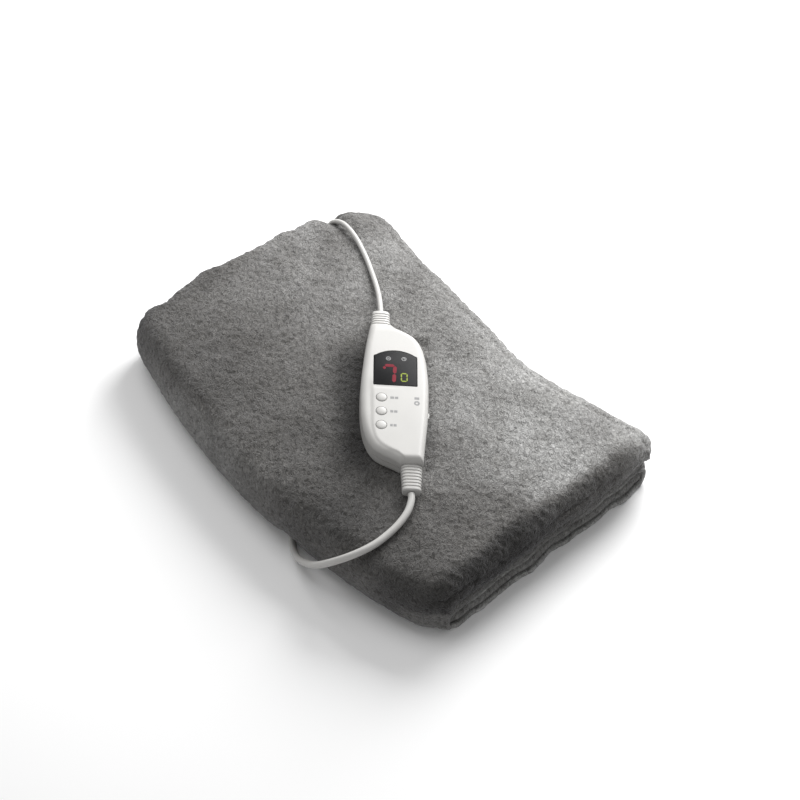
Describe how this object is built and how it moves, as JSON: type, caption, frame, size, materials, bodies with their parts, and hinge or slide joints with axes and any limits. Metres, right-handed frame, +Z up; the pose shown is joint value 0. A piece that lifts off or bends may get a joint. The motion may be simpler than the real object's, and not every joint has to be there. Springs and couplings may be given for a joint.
{
  "type": "heated throw",
  "caption": "Folded grey fleece heated throw with a white hand controller on it, its lead, connector, mains cord and plug.",
  "frame": {"origin": "bottom centre of the folded throw, on the surface it lies on", "axes": "+Z up, +Y along the bundle's long side towards the end with the lead's connector, +X along its short side"},
  "size_m": [0.2826, 0.3885, 0.0741],
  "materials": {
    "fleece": "brushed coral fleece",
    "white_plastic": "satin gloss",
    "cord_jacket": "satin gloss",
    "window": "gloss, tinted",
    "led_red": "lit segments",
    "led_green": "lit segments",
    "board": "solder mask",
    "black_plastic": "matte",
    "steel": "nickel plated",
    "brass": "plain",
    "heating_wire": "matte"
  },
  "bodies": {
    "throw": {"blanket_lead": "cord_jacket", "case_screw_1": "steel", "case_screw_2": "steel", "case_screw_3": "steel", "case_screw_4": "steel", "circuit_board": "board", "coil_tie": "black_plastic", "connector_body": "white_plastic", "connector_pin_1": "brass", "connector_pin_2": "brass", "connector_relief": "white_plastic", "cord_clamp_lower": "black_plastic", "cord_clamp_upper": "black_plastic", "digit_module_large": "led_red", "digit_module_small": "led_green", "display_window": "window", "electrolytic_capacitor": "black_plastic", "film_capacitor": "heating_wire", "folded_throw_lower": "fleece", "folded_throw_upper": "fleece", "fuse": "steel", "heating_wire": "heating_wire", "lower_shell": "white_plastic", "mains_coil": "cord_jacket", "mains_lead": "cord_jacket", "mains_plug": "white_plastic", "mains_tail": "cord_jacket", "microcontroller": "black_plastic", "plug_pin_1": "steel", "plug_pin_2": "steel", "plug_relief": "cord_jacket", "slide_switch_body": "steel", "socket_base": "white_plastic", "socket_contact_1": "brass", "socket_contact_2": "brass", "socket_cover": "white_plastic", "strain_relief_lower": "white_plastic", "strain_relief_upper": "white_plastic", "tact_switch_boost": "black_plastic", "tact_switch_temperature": "black_plastic", "tact_switch_timer": "black_plastic", "triac": "black_plastic", "upper_shell": "white_plastic"},
    "temperature_button": {"button_temperature": "white_plastic"},
    "timer_button": {"button_timer": "white_plastic"},
    "boost_button": {"button_boost": "white_plastic"},
    "power_switch": {"power_switch_knob": "white_plastic"},
    "connector_latch": {"connector_latch": "white_plastic"}
  },
  "joints": [
    {"name": "temperature_press", "type": "slide", "parent": "throw", "child": "temperature_button", "axis": [-0.0658, 0.0572, -0.9962], "range_m": [0, 0.0008], "stiffness_N_per_m": 400},
    {"name": "timer_press", "type": "slide", "parent": "throw", "child": "timer_button", "axis": [-0.0658, 0.0572, -0.9962], "range_m": [0, 0.0008], "stiffness_N_per_m": 400},
    {"name": "boost_press", "type": "slide", "parent": "throw", "child": "boost_button", "axis": [-0.0658, 0.0572, -0.9962], "range_m": [0, 0.0008], "stiffness_N_per_m": 400},
    {"name": "power_slide", "type": "slide", "parent": "throw", "child": "power_switch", "axis": [-0.6561, -0.7547, 0], "range_m": [0, 0.004]},
    {"name": "latch_press", "type": "slide", "parent": "throw", "child": "connector_latch", "axis": [0, 0, -1], "range_m": [0, 0.0015], "stiffness_N_per_m": 400}
  ]
}
